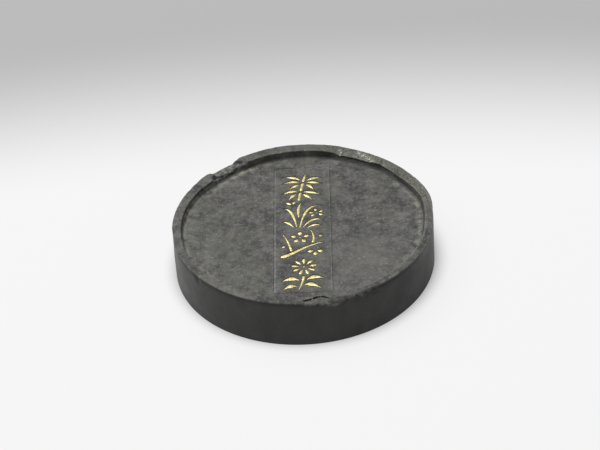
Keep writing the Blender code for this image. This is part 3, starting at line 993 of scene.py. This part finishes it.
def noise_of(tree, where, size_mm, detail, stretch=None):
    """A noise value with features about so many millimetres across."""
    if stretch:
        where = add_node(tree, "Mapping", {"Vector": where, "Scale": stretch}).outputs["Vector"]
    inputs = {"Vector": where, "Scale": 1 / (size_mm * MM), "Detail": detail, "Roughness": 0.55}
    return add_node(tree, "TexNoise", inputs).outputs["Fac"]


def level(tree, value, low, high, to_low=0.0, to_high=1.0):
    """The value from low to high spread over the other two."""
    inputs = {"Value": value, "From Min": low, "From Max": high, "To Min": to_low, "To Max": to_high}
    return add_node(tree, "MapRange", inputs).outputs["Result"]


def maths(tree, operation, first, second):
    return add_node(tree, "Math", {0: first, 1: second}, operation=operation).outputs[0]


def times(tree, product, *values):
    """Values multiplied together."""
    for value in values:
        product = maths(tree, "MULTIPLY", product, value)
    return product


def mixed(tree, share, first, second):
    """Two colours mixed. The second shows where share is 1."""
    return add_node(tree, "Mix", {0: share, 6: first, 7: second}, data_type="RGBA").outputs[2]


def attribute(tree, name):
    return add_node(tree, "Attribute", attribute_name=name).outputs["Fac"]


def marked(tree, name, *values):
    """A mark on the mesh, multiplied by the values."""
    return times(tree, attribute(tree, name), *values)


def link_surface(tree, surface, colour, roughness, bump):
    tree.links.new(colour, surface.inputs["Base Color"])
    tree.links.new(roughness, surface.inputs["Roughness"])
    tree.links.new(add_node(tree, "Bump", bump).outputs["Normal"], surface.inputs["Normal"])


def new_material(name):
    """(material, its node tree, its Principled node, its object coordinates)"""
    made = bpy.data.materials.new(name)
    made.use_nodes = True
    tree = made.node_tree
    where = add_node(tree, "TexCoord").outputs["Object"]
    return made, tree, tree.nodes["Principled BSDF"], where


def grey(value, warmth=0.0):
    """A linear grey, slightly warm if asked."""
    return (value * (1 + warmth), value * (1 + 0.6 * warmth), value * (1 - warmth), 1.0)


# The soot's noises, as (size in millimetres, detail, stretch)
INK_NOISES = {
    "haze": (16.0, 2.0),
    "clouds": (9.0, 4.0),
    "blotches": (3.2, 4.0),
    "chips": (1.8, 3.0),
    "grain": (1.2, 3.0),
    "specks": (1.1, 2.0),
    "fine": (0.85, 2.0),
    "crystals": (0.5, 1.0),
    "stains": (7.0, 5.0, (1.0, 1.0, 0.7)),
    "streaks": (3.0, 5.0, (1.0, 1.0, 0.6)),
}

# Linear colours. Where there are two, the first is the darker one of a mottled pair.
FIELD_TONES = (grey(0.021, 0.03), grey(0.1, 0.04))
OLIVE_TONE = (0.07, 0.07, 0.05, 1.0)
PALE_TONE = grey(0.105, 0.04)
GRIT_TONES = ((0.02, 0.02, 0.014, 1.0), (0.142, 0.142, 0.112, 1.0))
SPECK_TONE = grey(0.15, 0.05)
UNDER_RIM_TONES = ((0.035, 0.035, 0.028, 1.0), (0.07, 0.07, 0.052, 1.0))
# The side's skin, darker than the faces partly as painted shade
SIDE_SKIN_AND_SHADE_TONES = (grey(0.008, 0.05), grey(0.017, 0.05))
STREAK_TONE = grey(0.1, 0.03)
FIELD_DUST_TONE = (0.19, 0.19, 0.155, 1.0)
# Dust and painted light on the inner wall
WALL_DUST_AND_PAINTED_LIGHT_TONE = (0.2, 0.2, 0.175, 1.0)
# Rubbed edges, partly a painted highlight
RUBBED_AND_HIGHLIGHT_TONE = grey(0.14, 0.02)
SCORED_TONE = grey(0.17)
RAW_TONES = ((0.035, 0.034, 0.031, 1.0), (0.15, 0.148, 0.14, 1.0))
# Painted shade in the inner wall's hollows, the left break's gap and under the front flake
PAINTED_SHADE_TONE = grey(0.009)
CRYSTAL_TONE = (0.68, 0.68, 0.58, 1.0)
GOLD_TONES = ((0.43, 0.355, 0.125, 1.0), (0.66, 0.59, 0.3, 1.0))
THIN_GOLD_TONE = (0.15, 0.13, 0.045, 1.0)
DRY_ROUGHNESS = (0.62, 0.8)
SIDE_ROUGHNESS = (0.42, 0.5)
GOLD_ROUGHNESS = (0.34, 0.5)


def ink_material():
    """Pressed soot, dry and dusty on the faces, smoother on the side and raw where it broke."""
    made, tree, surface, where = new_material("ink")
    noises = {name: noise_of(tree, where, *settings) for name, settings in INK_NOISES.items()}
    noises = SimpleNamespace(**noises)
    colour = field_colour(tree, noises)
    for layer in (with_side, with_dust_and_painted_light, with_damage_and_painted_shading):
        colour = layer(tree, noises, colour)
    surface.inputs["Specular IOR Level"].default_value = 0.36

    dry = level(tree, noises.blotches, 0.35, 0.65, *DRY_ROUGHNESS)
    smooth = level(tree, noises.clouds, 0.35, 0.65, *SIDE_ROUGHNESS)
    smooth = maths(tree, "ADD", smooth, marked(tree, "dull", 0.12))
    rough = add_node(tree, "Mix", {0: attribute(tree, "side"), 2: dry, 3: smooth}).outputs[0]

    relief = maths(tree, "ADD", times(tree, noises.blotches, 0.5), times(tree, noises.grain, 0.5))
    bump = {"Strength": 0.5, "Distance": 0.0004, "Height": relief}
    link_surface(tree, surface, colour, rough, bump)
    return made


def field_colour(tree, noises):
    """Mottled soot with specks, olive patches, a gritty worn rim and a darker inner wall."""
    tone = maths(tree, "ADD", times(tree, noises.clouds, 0.35), times(tree, noises.blotches, 0.4))
    tone = maths(tree, "ADD", tone, times(tree, noises.grain, 0.25))
    colour = mixed(tree, level(tree, tone, 0.42, 0.62), *FIELD_TONES)

    in_haze = level(tree, noises.haze, 0.45, 0.65, 0.0, 0.6)
    olive = maths(tree, "MAXIMUM", in_haze, attribute(tree, "olive"))
    colour = mixed(tree, olive, colour, mixed(tree, 0.5, colour, OLIVE_TONE))
    colour = mixed(tree, marked(tree, "pale", 0.35), colour, PALE_TONE)
    gritty = mixed(tree, level(tree, noises.fine, 0.42, 0.58), *GRIT_TONES)
    colour = mixed(tree, marked(tree, "olive", 0.6), colour, gritty)
    colour = mixed(tree, level(tree, noises.specks, 0.6, 0.72, 0.0, 0.8), colour, SPECK_TONE)

    under_rim = mixed(tree, level(tree, noises.blotches, 0.4, 0.6), *UNDER_RIM_TONES)
    return mixed(tree, marked(tree, "inner_wall", 0.8), colour, under_rim)


def with_side(tree, noises, colour):
    """Adds the side's moulded skin, darker than the faces partly as painted shade, with faint stains and
    pale streaks.
    """
    # The side's skin, darker partly as painted shade
    skin = mixed(tree, level(tree, noises.stains, 0.32, 0.7), *SIDE_SKIN_AND_SHADE_TONES)
    colour = mixed(tree, attribute(tree, "side"), colour, skin)
    streaks = level(tree, noises.streaks, 0.35, 0.75)
    return mixed(tree, marked(tree, "residue", streaks, 0.5), colour, STREAK_TONE)


def with_dust_and_painted_light(tree, noises, colour):
    """Adds dust on the field along the foot of the inner wall, and dust with painted light on the wall
    itself.
    """
    blotches, fine = noises.blotches, noises.fine
    spotty = times(tree, level(tree, blotches, 0.4, 0.62), level(tree, fine, 0.38, 0.6, 0.35, 1.0))
    colour = mixed(tree, marked(tree, "margin", spotty, 0.8), colour, FIELD_DUST_TONE)
    # Dust and painted light on the inner wall
    on_wall = marked(tree, "wall_dust_and_painted_light", level(tree, blotches, 0.38, 0.56, 0.2, 1.0))
    return mixed(tree, times(tree, on_wall, 0.9), colour, WALL_DUST_AND_PAINTED_LIGHT_TONE)


def with_damage_and_painted_shading(tree, noises, colour):
    """Adds rubbed edges with a painted highlight, scored edges, raw breaks, painted shade in the hollows and
    bright crystals.
    """
    uneven = level(tree, noises.grain, 0.35, 0.6, 0.3, 1.0)
    # Rubbed edges, lightened partly as a painted highlight
    colour = mixed(tree, marked(tree, "rubbed_and_highlight", uneven, 0.8), colour, RUBBED_AND_HIGHLIGHT_TONE)
    colour = mixed(tree, marked(tree, "scored", uneven), colour, SCORED_TONE)
    raw = mixed(tree, level(tree, noises.chips, 0.42, 0.58), *RAW_TONES)
    colour = mixed(tree, marked(tree, "broken", 0.65), colour, raw)
    # Painted shade in the hollows and gaps
    colour = mixed(tree, marked(tree, "painted_shade", 0.85), colour, PAINTED_SHADE_TONE)
    crystals = marked(tree, "specks", level(tree, noises.crystals, 0.5, 0.62))
    return mixed(tree, crystals, colour, CRYSTAL_TONE)


def gold_material():
    """Gold powder in glue, bright on the crown of a stroke and thin and olive at its edges."""
    made, tree, surface, where = new_material("gold_powder")
    patches = noise_of(tree, where, 1.6, 4.0)
    grain = noise_of(tree, where, 0.25, 2.0)
    crown = mixed(tree, level(tree, patches, 0.35, 0.65), *GOLD_TONES)
    cover = maths(tree, "ADD", attribute(tree, "inward"), times(tree, patches, 0.5))
    colour = mixed(tree, level(tree, cover, 0.15, 0.45), THIN_GOLD_TONE, crown)
    surface.inputs["Metallic"].default_value = 0.65
    rough = level(tree, grain, 0.3, 0.7, *GOLD_ROUGHNESS)
    bump = {"Strength": 0.3, "Distance": 0.0001, "Height": grain}
    link_surface(tree, surface, colour, rough, bump)
    return made


# Stage


def floor():
    """A plain pale floor that glows as a light table does, greyer far behind the cake outside a painted pool
    of light, with a painted contact shadow round the cake's foot.
    """
    made, tree, surface, where = new_material("pale_floor")
    reach = distance_from(tree, where, POOL_CENTRE)
    spread = {"Value": reach, "From Min": POOL_RADIUS, "From Max": POOL_RADIUS + POOL_EDGE}
    shade = add_node(tree, "MapRange", spread, interpolation_type="SMOOTHSTEP").outputs["Result"]
    # Painted contact shadow: the glow dims close to the cake's foot
    painted_shadow = level(tree, distance_from(tree, where, CONTACT_CENTRE), CONTACT_START, CONTACT_END, 1.0, 0.0)
    glow_with_painted_shadow = level(tree, times(tree, painted_shadow, painted_shadow), 0.0, 1.0, FLOOR_GLOW, CONTACT_SHADOW_GLOW)
    glow = mixed(tree, shade, glow_with_painted_shadow, grey(FAR_GLOW))
    tree.links.new(glow, surface.inputs["Emission Color"])
    surface.inputs["Emission Strength"].default_value = 1.0
    surface.inputs["Base Color"].default_value = grey(FLOOR_TONE)
    surface.inputs["Roughness"].default_value = 0.9
    surface.inputs["Specular IOR Level"].default_value = 0.1
    bpy.ops.mesh.primitive_plane_add(size=FLOOR_SIZE, location=(0, 0, -FLOOR_GAP))
    plane = bpy.context.object
    plane.name = "floor"
    plane.data.materials.append(made)


def distance_from(tree, where, centre):
    return add_node(tree, "VectorMath", {0: where, 1: centre}, operation="DISTANCE").outputs["Value"]


def lights():
    """A broad soft light overhead and a little behind, over a dim even surround."""
    data = bpy.data.lights.new("overhead", "AREA")
    data.shape = "RECTANGLE"
    data.size, data.size_y = LIGHT_SIZE
    data.energy = LIGHT_WATTS
    light = bpy.data.objects.new("overhead", data)
    light.location = LIGHT_PLACE
    light.rotation_euler = (-Vector(LIGHT_PLACE)).to_track_quat("-Z", "Y").to_euler()
    bpy.context.scene.collection.objects.link(light)
    world = bpy.data.worlds.new("surround")
    bpy.context.scene.world = world
    world.use_nodes = True
    background = world.node_tree.nodes["Background"]
    background.inputs["Color"].default_value = (1.0, 1.0, 1.0, 1.0)
    background.inputs["Strength"].default_value = SURROUND_STRENGTH
    bpy.context.scene.view_settings.view_transform = "Standard"


def camera():
    """Looks down at the cake's upper face from the front, slightly rolled."""
    data = bpy.data.cameras.new("camera")
    data.sensor_width = SENSOR_WIDTH
    data.lens = LENS
    data.shift_x, data.shift_y = CAMERA_SHIFT
    data.clip_start = 0.05
    azimuth, elevation = radians(CAMERA_AZIMUTH), radians(CAMERA_ELEVATION)
    level_part = cos(elevation)
    back = Vector((sin(azimuth) * level_part, -cos(azimuth) * level_part, sin(elevation)))
    right = Vector((0, 0, 1)).cross(back).normalized()
    up = back.cross(right)
    roll = Matrix.Rotation(radians(CAMERA_ROLL), 4, "Z")
    turned = Matrix((right, up, back)).transposed().to_4x4() @ roll
    obj = bpy.data.objects.new("camera", data)
    obj.matrix_world = Matrix.Translation(back * CAMERA_DISTANCE + Vector((0, 0, HEIGHT * MM))) @ turned
    bpy.context.scene.collection.objects.link(obj)
    bpy.context.scene.camera = obj


def place(obj, surface, slot, node):
    """Gives a piece its material, hangs it on the root body and hides the CAD node that it stands for."""
    obj.data.materials.clear()
    obj.data.materials.append(surface)
    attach(obj, "root")
    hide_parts(node)


def main():
    camera()
    lights()
    floor()
    ink = ink_material()
    gold = gold_material()
    dabs = {name: node for name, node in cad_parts.items() if name.startswith("gilt_")}
    outlines = {name: brushed_outline(node) for name, node in dabs.items()}
    for name, outline in outlines.items():
        place(gold_dab(name + "_brushed", outline), gold, "gold", name)
    place(cake(list(outlines.values())), ink, "ink", "ink_cake")


main()
